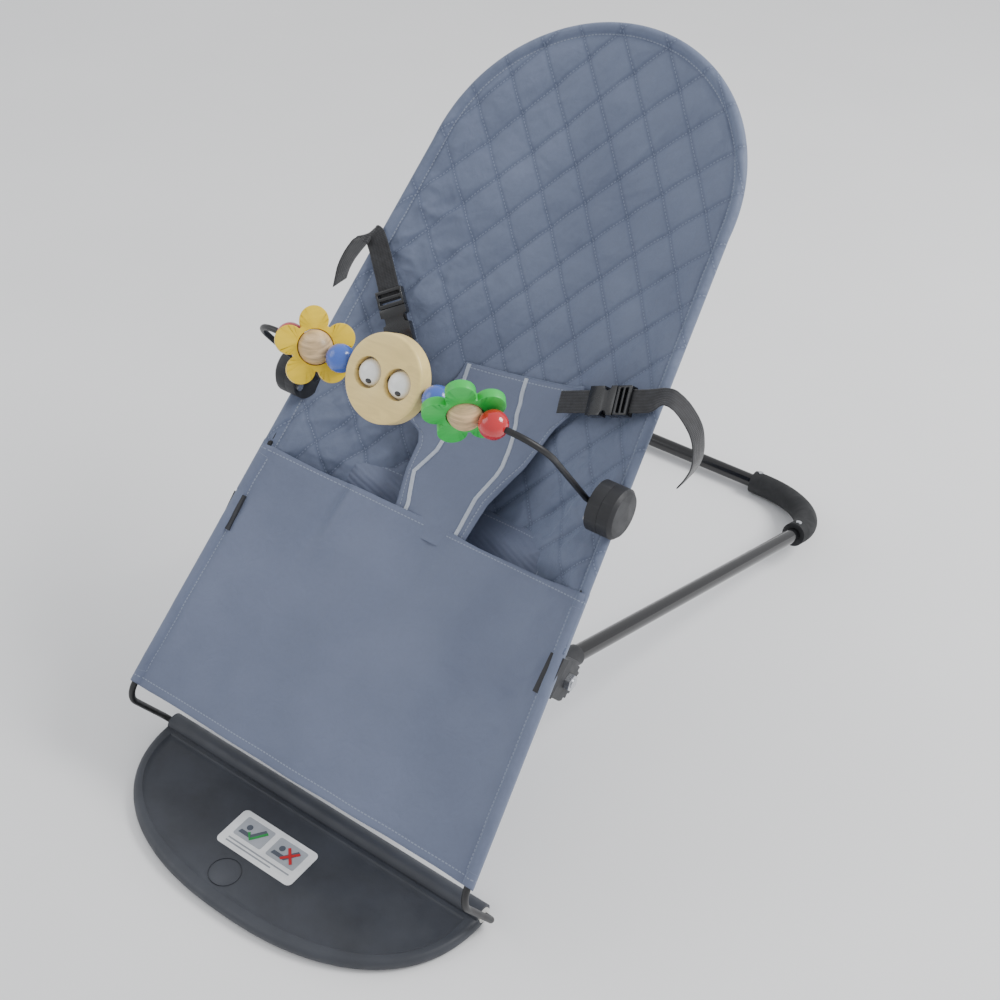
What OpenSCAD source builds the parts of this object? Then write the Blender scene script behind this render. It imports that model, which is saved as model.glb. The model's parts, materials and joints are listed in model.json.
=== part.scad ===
// Bouncer seat: a wire-framed sling seat on a U-shaped rear leg and a hinged half-moon foot plate,
// with a toy bar, a crotch restraint and two side-release buckles.
// Millimetres, +Z up, +Y towards the head end, bounding box centred on the origin at floor level.

/* [Seat frame] */
// angle of the seat plane above the floor
seat_angle = 43.8; // [40:0.1:48]
// half the width between the side rails at the fabric hem
hem_half_w = 186; // [150:1:230]
// length of the seat plane from the hem to the top of the head arch
seat_len = 694; // [570:1:840]
// radius of the head arch
head_r = 142; // [115:1:165]
// height of the hem above the floor
hem_z = 85.6; // [75:0.1:100]
// diameter of the frame wire
wire_d = 6; // [5:0.1:7.5]
// radius of the bend below each hem corner
curl_r = 20; // [14:1:26]

/* [Rear leg] */
// distance from the plate hinge back to the rear floor bar
leg_reach = 653.4; // [560:1:760]
// diameter of the leg tube
tube_d = 15; // [12:0.5:18]
// wall of the leg tube
tube_wall = 1.5; // [1:0.1:2.5]
// centre-line radius of the two rear corners
corner_r = 80; // [60:1:95]
// diameter of the rubber corner sleeves
sleeve_d = 25; // [20:0.5:30]
// position of the leg pivot along the seat plane
pivot_s = 178; // [160:1:200]

/* [Foot plate] */
// half the width of the half-moon plate
plate_half_w = 183; // [150:1:200]
// depth of the plate from its hinge line to the front
plate_depth = 128.5; // [105:0.5:155]
// thickness of the plate at its rim
plate_t = 12; // [9:0.5:16]

/* [Soft goods] */
// deepest sag of the sling below the side rails
sag_depth = 78; // [50:1:95]
// where the top edge of the leg cover crosses the seat
cover_len = 247; // [200:1:300]
// width of the webbing
webbing_w = 20; // [16:0.5:25]

/* [Toy bar] */
// height of the bead row above the clamp pivots
toy_rise = 122; // [100:1:145]
// diameter of the toy bar wire
toy_wire_d = 5; // [4:0.1:6]
// diameter of the coloured beads
bead_d = 23; // [18:0.5:26]
// diameter of the wooden balls
ball_d = 28; // [24:0.5:30]
// diameter of the round face
face_d = 70; // [55:1:80]
// position of the toy clamps along the seat plane
clamp_s = 316; // [290:1:350]

/* [Hidden] */
$fn = 64;
fit = 0.05;
gap = 0.3;
hinge_z = 9.5;
barrel_r = 9.5;
hem_y = -31;
wire_r = wire_d / 2;
tube_r = tube_d / 2;
sleeve_r = sleeve_d / 2;
slate = [0.13, 0.15, 0.18];
black = [0.05, 0.05, 0.06];
steel = [0.72, 0.73, 0.75];
cloth = [0.47, 0.53, 0.65];
wood = [0.82, 0.66, 0.47];

// Overall placement.
rear_end = leg_reach + sleeve_r;
mid_y = (rear_end - plate_depth) / 2;

// Seat plane: x across, s up the seat from the hem, n out of the seat towards the sitter.
arch_c = seat_len - head_r;
taper = acos(head_r / norm([hem_half_w, arch_c])) - atan2(arch_c, hem_half_w);
function rail_x(s) = hem_half_w - s * tan(taper);
function seat_pt(x, s, n) = [
  x,
  hem_y + s * cos(seat_angle) - n * sin(seat_angle),
  hem_z + s * sin(seat_angle) + n * cos(seat_angle)
];
module on_seat(x = 0, s = 0, n = 0) {
  translate(seat_pt(x, s, n)) rotate([seat_angle, 0, 0]) children();
}
module placed() {
  translate([0, -mid_y, 0]) children();
}
module sided(side) {
  mirror([side < 0 ? 1 : 0, 0, 0]) children();
}

// Rods bent through corner points: straights that dip into very slightly fuller corners.
elbow_dip = 0.3;
elbow_swell = 0.04;
function unit(v) = v / norm(v);
function bend_angle(a, b, c) = acos(unit(b - a) * unit(c - b));
function bend_trim(a, b, c, r) = r * tan(bend_angle(a, b, c) / 2);
module along(a, b) {
  d = b - a;
  translate(a) rotate([0, acos(d.z / norm(d)), atan2(d.y, d.x)]) children();
}
module elbow(a, b, c, bend_r, r) {
  u = unit(b - a);
  v = unit(c - b);
  axis = unit(cross(u, v));
  out = cross(u, axis);
  start = b - u * bend_trim(a, b, c, bend_r);
  centre = start - out * bend_r;
  multmatrix([
    [out.x, u.x, axis.x, centre.x],
    [out.y, u.y, axis.y, centre.y],
    [out.z, u.z, axis.z, centre.z],
    [0, 0, 0, 1]
  ])
    rotate_extrude(angle = bend_angle(a, b, c)) translate([bend_r, 0]) circle(r);
}
module bent_rod(pts, radii, r) {
  last = len(pts) - 1;
  trims = [
    for (i = [0:last])
      i == 0 || i == last ? 0 : bend_trim(pts[i - 1], pts[i], pts[i + 1], radii[i])
  ];
  for (i = [0:last - 1]) {
    start = trims[i] - (i > 0 ? elbow_dip : 0);
    stop = norm(pts[i + 1] - pts[i]) - trims[i + 1] + (i < last - 1 ? elbow_dip : 0);
    along(pts[i], pts[i + 1]) translate([0, 0, start]) cylinder(r = r, h = stop - start);
  }
  for (i = [1:last - 1]) elbow(pts[i - 1], pts[i], pts[i + 1], radii[i], r + elbow_swell);
}

// Closed sheet through a grid of points: f(u, v) gives [x, s, n] on the seat.
module sheet(f, nu, nv, t) {
  top = [for (j = [0:nv]) for (i = [0:nu]) f(i / nu, j / nv)];
  low = [for (p = top) p - [0, 0, t]];
  m = (nu + 1) * (nv + 1);
  w = nu + 1;
  faces = concat(
    [for (j = [0:nv - 1]) for (i = [0:nu - 1])
      for (k = [0, 1])
        k == 0 ? [j * w + i, (j + 1) * w + i, (j + 1) * w + i + 1]
               : [j * w + i, (j + 1) * w + i + 1, j * w + i + 1]],
    [for (j = [0:nv - 1]) for (i = [0:nu - 1])
      for (k = [0, 1])
        k == 0 ? [m + j * w + i, m + (j + 1) * w + i + 1, m + (j + 1) * w + i]
               : [m + j * w + i, m + j * w + i + 1, m + (j + 1) * w + i + 1]],
    [for (i = [0:nu - 1]) [i, i + 1, m + i + 1, m + i]],
    [for (i = [0:nu - 1]) [nv * w + i + 1, nv * w + i, m + nv * w + i, m + nv * w + i + 1]],
    [for (j = [0:nv - 1]) [(j + 1) * w, j * w, m + j * w, m + (j + 1) * w]],
    [for (j = [0:nv - 1])
      [j * w + nu, (j + 1) * w + nu, m + (j + 1) * w + nu, m + j * w + nu]]
  );
  on_seat() polyhedron(points = concat(top, low), faces = faces);
}

// Flat strip of thickness t and width w along a path of [length, turn] runs in the local XZ plane.
function steps(runs) = [
  for (r = runs) let (k = max(1, ceil(abs(r[1]) / 12))) for (i = [1:k]) [r[0] / k, r[1] / k]
];
function walk(st, i = 0, p = [0, 0], h = 0) =
  i == len(st) ? [[p.x, p.y, h]]
  : concat(
      [[p.x, p.y, h]],
      walk(st, i + 1, p + st[i][0] * [cos(h + st[i][1] / 2), sin(h + st[i][1] / 2)],
        h + st[i][1])
    );
module strip(runs, w, t) {
  path = walk(steps(runs));
  n = len(path) - 1;
  left = [for (q = path) [q[0] - sin(q[2]) * t / 2, q[1] + cos(q[2]) * t / 2]];
  right = [for (i = [n:-1:0])
    [path[i][0] + sin(path[i][2]) * t / 2, path[i][1] - cos(path[i][2]) * t / 2]];
  rotate([90, 0, 0]) linear_extrude(w, center = true) polygon(concat(left, right));
}

// Foot plate: one closed skin through rings that follow the half-moon outline.
outline_power = 0.87;
outline_steps = 64;
rim_steps = 8;
rim_round = plate_t / 2;
dish_depth = 2;
dish_lip = 12;
dish_back = barrel_r + 4;
plate_back = 4;
function signed_pow(v, e) = sign(v) * pow(abs(v), e);
function plate_ring(inset, back, z) = [
  for (i = [0:outline_steps]) let (t = 180 * i / outline_steps) [
    (plate_half_w - inset) * signed_pow(cos(t), outline_power),
    -back - (plate_depth - inset - back) * signed_pow(sin(t), outline_power),
    z
  ]
];
plate_rings = concat(
  [for (k = [0:rim_steps]) let (a = -90 + 180 * k / rim_steps, d = rim_round * (1 - cos(a)))
    plate_ring(d, d, rim_round * (1 + sin(a)))],
  [
    plate_ring(dish_lip, dish_back, plate_t),
    plate_ring(dish_lip + 2, dish_back + 2, plate_t - dish_depth * 0.7),
    plate_ring(dish_lip + 6, dish_back + 6, plate_t - dish_depth)
  ]
);
module skin(rings) {
  w = len(rings[0]);
  last = len(rings) - 1;
  faces = concat(
    [[for (i = [w - 1:-1:0]) i]],
    [for (k = [0:last - 1]) for (i = [0:w - 1]) for (h = [0, 1])
      let (j = (i + 1) % w, a = k * w, b = (k + 1) * w)
        h == 0 ? [a + i, b + j, b + i] : [a + i, a + j, b + j]],
    [[for (i = [0:w - 1]) last * w + i]]
  );
  polyhedron(points = [for (r = rings) each r], faces = faces);
}
barrel_half = plate_half_w - 3;
bushing_r = 5.5;
bushing_len = 24;
flange_r = 7;

module foot_plate() {
  color(slate) placed() difference() {
    union() {
      skin(plate_rings);
      translate([-barrel_half, -plate_t, 0]) cube([2 * barrel_half, plate_back + plate_t, hinge_z]);
      translate([-barrel_half, 0, hinge_z]) rotate([0, 90, 0])
        cylinder(r = barrel_r, h = 2 * barrel_half);
    }
    for (side = [-1, 1]) sided(side) translate([0, 0, hinge_z]) {
      across(barrel_half - bushing_len, barrel_half + 5, bushing_r);
      across(barrel_half, plate_half_w + 5, flange_r + gap);
    }
    translate([-22, -98, plate_t - dish_depth - 0.6]) difference() {
      cylinder(r = 15, h = 3);
      translate([0, 0, -1]) cylinder(r = 13.8, h = 5);
    }
  }
}
label_w = 86;
label_h = 41;
label_r = 5;
module foot_label() {
  color([0.95, 0.95, 0.95]) placed() translate([-54, -77, plate_t - dish_depth]) union() {
    translate([label_r, 0, 0]) cube([label_w - 2 * label_r, label_h, 0.3]);
    translate([0, label_r, 0]) cube([label_w, label_h - 2 * label_r, 0.3]);
    for (x = [label_r, label_w - label_r]) for (y = [label_r, label_h - label_r])
      translate([x, y, 0]) cylinder(r = label_r, h = 0.3);
  }
}
module hinge_bushings() {
  color([0.9, 0.9, 0.86]) placed() for (side = [-1, 1]) sided(side) difference() {
    union() {
      translate([barrel_half - bushing_len, 0, hinge_z]) rotate([0, 90, 0])
        cylinder(r = bushing_r - 0.02, h = bushing_len + 1);
      translate([barrel_half + 0.02, 0, hinge_z]) rotate([0, 90, 0]) cylinder(r = flange_r, h = 1.6);
    }
    translate([barrel_half - bushing_len - 1, 0, hinge_z]) rotate([0, 90, 0])
      cylinder(r = wire_r + fit, h = bushing_len + 5);
  }
}

// Seat frame wire, from one hinge end round the head arch to the other.
hinge_bend_r = 8;
hinge_x = barrel_half + 2.6 + hinge_bend_r;
front_s = -0.75 * curl_r;
function mirror_x(p) = [-p.x, p.y, p.z];
function wire_half() = [
  [barrel_half - bushing_len + 2, 0, hinge_z],
  [hinge_x, 0, hinge_z],
  seat_pt(rail_x(front_s), front_s, 0),
  seat_pt(rail_x(seat_len), seat_len, 0)
];
function both_ways(half) = concat(half, [for (i = [len(half) - 1:-1:0]) mirror_x(half[i])]);
module frame_wire() {
  arch_r = head_r * 0.998;
  radii = [0, hinge_bend_r, curl_r, arch_r, arch_r, curl_r, hinge_bend_r, 0];
  color(black) placed() bent_rod(both_ways(wire_half()), radii, wire_r);
}

// Rear leg, drawn in its own frame: Y runs down the leg from the pivot.
pivot_n = -38;
leg_top_w = 152;
leg_half_w = 182;
pivot = seat_pt(0, pivot_s, pivot_n);
leg_vec = [leg_reach - pivot.y, sleeve_r - pivot.z];
leg_len = norm(leg_vec);
leg_slope = atan2(leg_vec.y, leg_vec.x);
leg_splay = atan2(leg_half_w - leg_top_w, leg_len);
tube_start = 14;
socket_len = 42;
socket_r = tube_r + 1.8;
pin_r = 4;
pin_bore = pin_r + fit;
hub_r = 13;
hub_in = leg_top_w - socket_r;
hub_out = leg_top_w + socket_r;
leg_top = [leg_top_w, 0, 0];
leg_corner = [leg_half_w, leg_len, 0];
arm_dir = unit(leg_top - leg_corner);
corner_trim = bend_trim(leg_top, leg_corner, mirror_x(leg_corner), corner_r);
module on_leg() {
  placed() translate(pivot) rotate([leg_slope, 0, 0]) children();
}
module across(x0, x1, r) {
  translate([x0, 0, 0]) rotate([0, 90, 0]) cylinder(r = r, h = x1 - x0);
}
module down_arm(start, r, h) {
  translate(leg_top - arm_dir * start) rotate([-90, 0, -leg_splay]) cylinder(r = r, h = h);
}
leg_path = both_ways([leg_top - arm_dir * tube_start, leg_corner]);
leg_radii = [0, corner_r, corner_r, 0];
module leg_tube() {
  color(black) on_leg() difference() {
    bent_rod(leg_path, leg_radii, tube_r);
    bent_rod(leg_path, leg_radii, tube_r - tube_wall);
  }
}
module leg_hub(side) {
  color(black) on_leg() sided(side) difference() {
    union() {
      across(hub_in, hub_out, hub_r);
      down_arm(0, socket_r, socket_len);
    }
    down_arm(tube_start - gap, tube_r + fit, socket_len);
    across(hub_in - 5, hub_out + 5, pin_bore);
  }
}
module leg_hub_left() leg_hub(-1);
module leg_hub_right() leg_hub(1);

sleeve_arm = 12;
sleeve_reach = corner_trim + sleeve_arm;
rivet_reach = sleeve_reach - 6;
module corner_sleeve(side) {
  path = [leg_corner + arm_dir * sleeve_reach, leg_corner, leg_corner - [sleeve_reach, 0, 0]];
  longer = [path[0] + arm_dir * 5, path[1], path[2] - [5, 0, 0]];
  color(black) on_leg() sided(side) difference() {
    bent_rod(path, [0, corner_r, 0], sleeve_r);
    bent_rod(longer, [0, corner_r, 0], tube_r + fit);
    for (p = rivet_points()) translate(p) cylinder(r = 1.6, h = sleeve_r + 5);
  }
}
module corner_sleeve_left() corner_sleeve(-1);
module corner_sleeve_right() corner_sleeve(1);
function rivet_points() = [leg_corner + arm_dir * rivet_reach, leg_corner - [rivet_reach, 0, 0]];
module sleeve_rivets() {
  color(steel) on_leg() for (side = [-1, 1]) sided(side)
    for (p = rivet_points()) translate(p + [0, 0, tube_r + 0.1]) union() {
      cylinder(r = 1.5, h = sleeve_r - tube_r + 0.4);
      translate([0, 0, sleeve_r - tube_r]) cylinder(r = 3, h = 1.2);
    }
}

// Rail brackets: each grips the side rail and carries the leg pivot and its notched rim.
bracket_half = 17;
grip_top = 2.2;
disc_r = 18;
disc_in = hub_out + norm([bracket_half, pivot_n]) * tan(leg_splay) + 0.6;
disc_out = disc_in + 8;
notch_r = 2.2;
notch_count = 7;
module rail_hole(s0, s1, r, side = 1) {
  along(seat_pt(rail_x(s0), s0, 0), seat_pt(rail_x(s1), s1, 0))
    cylinder(r = r, h = norm(seat_pt(rail_x(s1), s1, 0) - seat_pt(rail_x(s0), s0, 0)));
}
module rail_bracket(side) {
  grip_out = rail_x(pivot_s) + wire_r + 2;
  color(black) placed() sided(side) difference() {
    union() {
      on_seat(0, pivot_s, 0) translate([disc_in, -bracket_half, -9])
        cube([grip_out - disc_in, 2 * bracket_half, 9 + grip_top]);
      on_seat(0, pivot_s, pivot_n) translate([disc_in, -bracket_half, 0])
        cube([disc_out - disc_in, 2 * bracket_half, -pivot_n - 5]);
      on_seat(0, pivot_s, pivot_n) across(disc_in, disc_out, disc_r);
    }
    rail_hole(pivot_s - 2 * bracket_half, pivot_s + 2 * bracket_half, wire_r + fit);
    on_seat(0, pivot_s, pivot_n) across(disc_in - 5, disc_out + 5, pin_bore);
    for (i = [0:notch_count - 1]) on_seat(0, pivot_s, pivot_n)
      rotate([120 + i * 20, 0, 0]) translate([0, 0, disc_r]) across(disc_in - 1, disc_out + 1, notch_r);
  }
}
module rail_bracket_left() rail_bracket(-1);
module rail_bracket_right() rail_bracket(1);
nut_t = 5;
nut_af = 13;
module pivot_pin(side) {
  color(steel) on_leg() sided(side) union() {
    across(hub_in - 0.5, disc_out + nut_t + 1, pin_r);
    across(hub_in - 3, hub_in - gap, 7.5);
  }
}
module pivot_pin_left() pivot_pin(-1);
module pivot_pin_right() pivot_pin(1);
module pivot_nut(side) {
  color(steel) on_leg() sided(side) translate([disc_out + 0.1, 0, 0])
    rotate([0, 90, 0]) difference() {
      cylinder(r = nut_af / 2 / cos(30), h = nut_t, $fn = 6);
      translate([0, 0, -1]) cylinder(r = pin_r + 0.02, h = nut_t + 2);
    }
}
module pivot_nut_left() pivot_nut(-1);
module pivot_nut_right() pivot_nut(1);

// Soft goods, as plain closed sheets held between the rails.
edge_inset = wire_r + 1.5;
pocket_s0 = cover_len * 0.53;
pocket_s1 = cover_len * 0.97;
head_sag = 24;
sling_top = seat_len - wire_r - 4;
function smooth(t) = let (c = min(1, max(0, t))) c * c * (3 - 2 * c);
function sag(s) = s < pocket_s1
  ? sag_depth * smooth((s - cover_len * 0.4) / (pocket_s1 - cover_len * 0.4))
  : sag_depth - (sag_depth - head_sag) * smooth((s - pocket_s1) / (seat_len - pocket_s1));
function half_w(s) = s < arch_c
  ? rail_x(s) - edge_inset
  : min(rail_x(s), sqrt(max(1, pow(head_r, 2) - pow(s - arch_c, 2)))) - edge_inset;
function head_fade(s) = 1 - pow(max(0, (s - arch_c) / head_r), 2);
function sling_n(x, s) = -2 - sag(s) * head_fade(s) * (1 - pow(min(1, abs(x) / half_w(s)), 2));
sling_t = 3;
clamp_r = 21.5;
clamp_n = 12;
clamp_room = 8;
clamp_end = clamp_s + clamp_r;
function edge_cut(s) = clamp_room * (1 - smooth((s - clamp_end - 25) / 25));
module sling() {
  f = function(u, v)
    let (
      s = pocket_s0 + (sling_top - pocket_s0) * (1 - pow(1 - v, 1.3)),
      x = (2 * u - 1) * (half_w(s) - edge_cut(s))
    )
      [x, s, sling_n(x, s)];
  color(cloth) placed() sheet(f, 16, 26, sling_t);
}
pad_t = 4;
pad_clear = 3;
module pocket_pad() {
  f = function(u, v)
    let (s = cover_len * (0.82 + 0.3 * v), x = (2 * u - 1) * half_w(s) * 0.68)
      [x, s, sling_n(x, s) + pad_clear + pad_t];
  color(cloth * 0.9) placed() sheet(f, 12, 6, pad_t);
}
cover_t = 2;
cover_dip = 26;
module leg_cover() {
  f = function(u, v)
    let (
      s = cover_len * v,
      x = (2 * u - 1) * (rail_x(s) + 3),
      k = min(1, abs(x) / (0.87 * (rail_x(s) + 3)))
    )
      [x, s, wire_r + gap + cover_t - cover_dip * pow(v, 1.6) * (1 - k * k)];
  color(cloth) placed() sheet(f, 16, 10, cover_t);
}

// Restraint panel: rises out of the pocket between the legs, with a wing to each side.
panel_s0 = cover_len * 0.93;
panel_s1 = 392;
panel_low_w = 38;
panel_top_w = 56;
wing_tip = 74;
wing_s = [340, 388];
function wing(s, c) = smooth((s - c + 26) / 12) * (1 - smooth((s - c - 12) / 10));
function panel_half(s, c) = let (v = (s - panel_s0) / (panel_s1 - panel_s0))
  panel_low_w + (panel_top_w - panel_low_w) * v + (wing_tip - panel_top_w) * wing(s, c);
panel_rise = 50;
function panel_n(x, s) = let (t = (s - panel_s0) / (panel_s1 - panel_s0))
  sling_n(0, s) + panel_rise - (panel_rise - 10) * smooth(t) + 0.002 * x * x
    + 7 * smooth((abs(x) - panel_top_w) / 16);
module restraint_panel() {
  f = function(u, v)
    let (s = panel_s0 + (panel_s1 - panel_s0) * v, x = (2 * u - 1) * panel_half(s, wing_s[u < 0.5 ? 0 : 1]))
      [x, s, panel_n(x, s)];
  color(cloth * 0.95) placed() sheet(f, 10, 18, 3);
}
piping_w = 4;
module panel_piping() {
  color([0.85, 0.86, 0.88]) placed() for (side = [-1, 1]) {
    f = function(u, v)
      let (
        s = panel_s0 + 3 + (panel_s1 - panel_s0 - 6) * v,
        x = side * (panel_low_w - 10 + 14 * v) + (u - 0.5) * piping_w
      )
        [x, s, panel_n(x, s) + 1.4];
    sheet(f, 1, 18, 1.2);
  }
}

// Straps and buckles: each strap line runs from a wing of the panel to its side rail.
strap_t = 1.6;
rail_s = [451, 408];
strap_rise = [27, 20];
body_len = 26;
plug_len = 16;
release_len = 14;
function idx(side) = side < 0 ? 0 : 1;
function strap_a(side) = let (s = wing_s[idx(side)]) [wing_tip - 4, s, sling_n(wing_tip - 4, s) + strap_rise[idx(side)]];
function strap_b(side) = let (s = rail_s[idx(side)]) [rail_x(s), s, wire_r + 8];
module on_strap(side) {
  d = strap_b(side) - strap_a(side);
  placed() sided(side) on_seat() translate(strap_a(side))
    rotate([0, -asin(d.z / norm(d)), atan2(d.y, d.x)]) children();
}
buckle_w = webbing_w + 5;
buckle_t = 8;
wall = 1.8;
female_x = [54, 30];
module wing_strap(side) {
  color(black) on_strap(side) translate([-16, 0, 0])
    strip([[18 + female_x[idx(side)], 0]], webbing_w, strap_t);
}
module wing_strap_left() wing_strap(-1);
module wing_strap_right() wing_strap(1);
module buckle_female(side) {
  inner = buckle_w - 2 * wall;
  color(black) on_strap(side) translate([female_x[idx(side)], 0, 0]) difference() {
    union() {
      translate([6, -buckle_w / 2, -buckle_t / 2]) cube([body_len - 6, buckle_w, buckle_t]);
      translate([-6, -buckle_w / 2, -buckle_t / 2]) cube([14, buckle_w, buckle_t]);
    }
    translate([10, -inner / 2, -buckle_t / 2 + wall])
      cube([body_len, inner, buckle_t - 2 * wall]);
    translate([-2, -webbing_w / 2 - 0.5, -strap_t / 2 - gap])
      cube([6, webbing_w + 1, strap_t + 2 * gap]);
    translate([-10, -webbing_w / 2 - 0.5, -strap_t / 2 - gap])
      cube([14, webbing_w + 1, strap_t + 2 * gap]);
    for (y = [-1, 1]) translate([15, y * buckle_w / 2, -buckle_t]) cylinder(r = 4, h = 2 * buckle_t);
  }
}
module buckle_female_left() buckle_female(-1);
module buckle_female_right() buckle_female(1);
function male_x(side) = female_x[idx(side)] + body_len + 0.5;
slot_t = strap_t + 2 * gap;
module buckle_male(side) {
  inner = buckle_w - 2 * wall - 1;
  arm_t = buckle_t - 2 * wall - 0.8;
  color(black) on_strap(side) translate([male_x(side), 0, 0]) difference() {
    union() {
      translate([0, -buckle_w / 2, -buckle_t / 2]) cube([plug_len, buckle_w, buckle_t]);
      for (y = [-1, 1]) translate([-release_len, y * (inner / 2 - 2) - 2, -arm_t / 2])
        cube([release_len + 1, 4, arm_t]);
      translate([2 - release_len, -2, -arm_t / 2]) cube([release_len - 1, 4, arm_t]);
    }
    for (x = [3.5, 9.5]) translate([x, -webbing_w / 2 - 0.5, -buckle_t])
      cube([3.5, webbing_w + 1, 2 * buckle_t]);
    translate([3.5, -webbing_w / 2 - 0.5, -slot_t / 2]) cube([40, webbing_w + 1, slot_t]);
  }
}
module buckle_male_left() buckle_male(-1);
module buckle_male_right() buckle_male(1);
// The rail strap leaves the plug, crosses the rail and hangs down outside it: [outwards, up].
tails = [
  [[7, 1], [14, -4], [21, -13], [30, -26], [37, -38], [42, -50], [46, -62]],
  [[7, 6], [14, 9], [24, 6], [34, -3], [41, -14], [44, -28], [44, -41], [40, -54], [34, -66]]
];
world_y = [0, cos(seat_angle), -sin(seat_angle)];
world_z = [0, sin(seat_angle), cos(seat_angle)];
function strap_points(side) =
  let (a = strap_a(side), b = strap_b(side), d = unit(b - a))
    concat(
      [a + d * (male_x(side) + 5), b - d * 5],
      [for (q = tails[idx(side)]) b + [q.x, 0, 0] + world_z * q.y]
    );
module band(pts, first_w, last_w, w, t) {
  last = len(pts) - 1;
  rings = [for (i = [0:last])
    let (
      ahead = unit(pts[min(last, i + 1)] - pts[max(0, i - 1)]),
      wide = first_w + (last_w - first_w) * smooth((i - 1) / 4),
      side_w = unit(wide - ahead * (wide * ahead)) * w / 2,
      up = unit(cross(ahead, side_w)) * t / 2
    )
      [pts[i] + side_w - up, pts[i] - side_w - up, pts[i] - side_w + up, pts[i] + side_w + up]
  ];
  skin(rings);
}
module rail_strap(side) {
  d = strap_b(side) - strap_a(side);
  color(black) placed() sided(side) on_seat()
    band(strap_points(side), unit([-d.y, d.x, 0]), world_y, webbing_w, strap_t);
}
module rail_strap_left() rail_strap(-1);
module rail_strap_right() rail_strap(1);

// Toy bar clamps: two half shells round each rail, with the wire end turning in the inner one.
shell_in = 11;
shell_out = 13;
bar_end = 7.5;
clamp_x = rail_x(clamp_s);
screw_r = 2;
module clamp_frame(side) {
  placed() sided(side) on_seat(0, clamp_s, clamp_n) children();
}
module rail_channel() {
  placed() rail_hole(clamp_s - 60, clamp_s + 60, wire_r + 0.1);
}
function screw_pos() = [[13, 8], [-13, 8]];
module clamp_inner(side) {
  color(black) difference() {
    clamp_frame(side) difference() {
      across(clamp_x - shell_in, clamp_x - 0.1, clamp_r);
      across(clamp_x - shell_in - 5, clamp_x - shell_in + bar_end + 0.5, toy_wire_d / 2 + fit);
      for (p = screw_pos()) translate([0, p.x, p.y])
        across(clamp_x - shell_in - 5, clamp_x + 5, screw_r + 0.02);
    }
    sided(side) rail_channel();
  }
}
module clamp_inner_left() clamp_inner(-1);
module clamp_inner_right() clamp_inner(1);
module clamp_outer(side) {
  color(black) difference() {
    clamp_frame(side) difference() {
      union() {
        across(clamp_x + 0.1, clamp_x + shell_out - 3, clamp_r);
        translate([clamp_x + shell_out - 3, 0, 0]) rotate([0, 90, 0])
          cylinder(r1 = clamp_r, r2 = clamp_r - 3, h = 3);
      }
      for (p = screw_pos()) translate([0, p.x, p.y])
        across(clamp_x - 5, clamp_x + shell_out - 4, screw_r + 0.02);
    }
    sided(side) rail_channel();
  }
}
module clamp_outer_left() clamp_outer(-1);
module clamp_outer_right() clamp_outer(1);
module clamp_screws() {
  color(steel) for (side = [-1, 1]) clamp_frame(side)
    for (p = screw_pos()) translate([0, p.x, p.y]) union() {
      across(clamp_x - shell_in - 0.5, clamp_x + shell_out - 4.5, screw_r);
      across(clamp_x - shell_in - 2.2, clamp_x - shell_in - 0.1, 3.6);
    }
}

// Toy bar wire and its toys, in the frame of the bar: pivots at Z = 0, bead row at Z = toy_rise.
bar_tilt = -7;
bar_leg_x = clamp_x - 7;
bar_in_x = clamp_x - shell_in - 5;
toy_bore = toy_wire_d / 2 + 0.1;
bead_gap = 0.4;
bead_x1 = face_d / 2 + bead_gap + bead_d / 2;
ball_x = bead_x1 + bead_d / 2 + bead_gap + ball_d / 2;
bead_x2 = ball_x + ball_d / 2 + bead_gap + bead_d / 2;
row_end = bead_x2 + bead_d / 2 + 1;
bar_corner = bar_leg_x - 12;
bar_shoulder = min(30, bar_corner - row_end);
module on_bar() {
  placed() on_seat(0, clamp_s, clamp_n) rotate([bar_tilt, 0, 0]) children();
}
module toy_wire() {
  half = [
    [clamp_x - shell_in + bar_end, 0, 0], [bar_in_x - 5, 0, 0],
    [bar_corner, 0, toy_rise]
  ];
  color(black) on_bar()
    bent_rod(both_ways(half), [0, 5, bar_shoulder, bar_shoulder, 5, 0], toy_wire_d / 2);
}
module on_row(x) {
  on_bar() translate([x, 0, toy_rise]) children();
}
module bored_ball(d) {
  rotate([0, 90, 0]) rotate_extrude() intersection() {
    circle(d = d);
    translate([toy_bore, -d]) square([d, 2 * d]);
  }
}
module ball(x, d) {
  on_row(x) bored_ball(d);
}
module red_bead_left() color([0.78, 0.1, 0.1]) ball(-bead_x2, bead_d);
module red_bead_right() color([0.78, 0.1, 0.1]) ball(bead_x2, bead_d);
module blue_bead_left() color([0.2, 0.35, 0.75]) ball(-bead_x1, bead_d);
module blue_bead_right() color([0.2, 0.35, 0.75]) ball(bead_x1, bead_d);
module wood_ball_left() color(wood) ball(-ball_x, ball_d);
module wood_ball_right() color(wood) ball(ball_x, ball_d);
petal_r = 11.5;
petal_c = 21;
flower_t = 8;
flower_lean = min(52, acos((bead_d / 2 + flower_t / 2 + gap) / (ball_x - bead_x1)));
module flower(x, turn, phase) {
  on_row(x) rotate([turn, 0, 0]) rotate([0, 90 - flower_lean, 0])
    translate([0, 0, -flower_t / 2]) linear_extrude(flower_t) difference() {
      union() {
        circle(r = petal_c - 2);
        for (i = [0:4]) rotate(i * 72 + phase) translate([petal_c, 0]) circle(r = petal_r);
      }
      circle(d = ball_d + 2 * gap);
    }
}
module yellow_flower() color([0.85, 0.72, 0.05]) flower(-ball_x, 6, 47);
module green_flower() color([0.1, 0.7, 0.25]) flower(ball_x, 71, 17);
face_t = 16;
eye_d = 22;
eye_x = 14.2;
face_turn = 22;
module on_face() {
  on_row(0) rotate([face_turn, 0, 0]) children();
}
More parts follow.
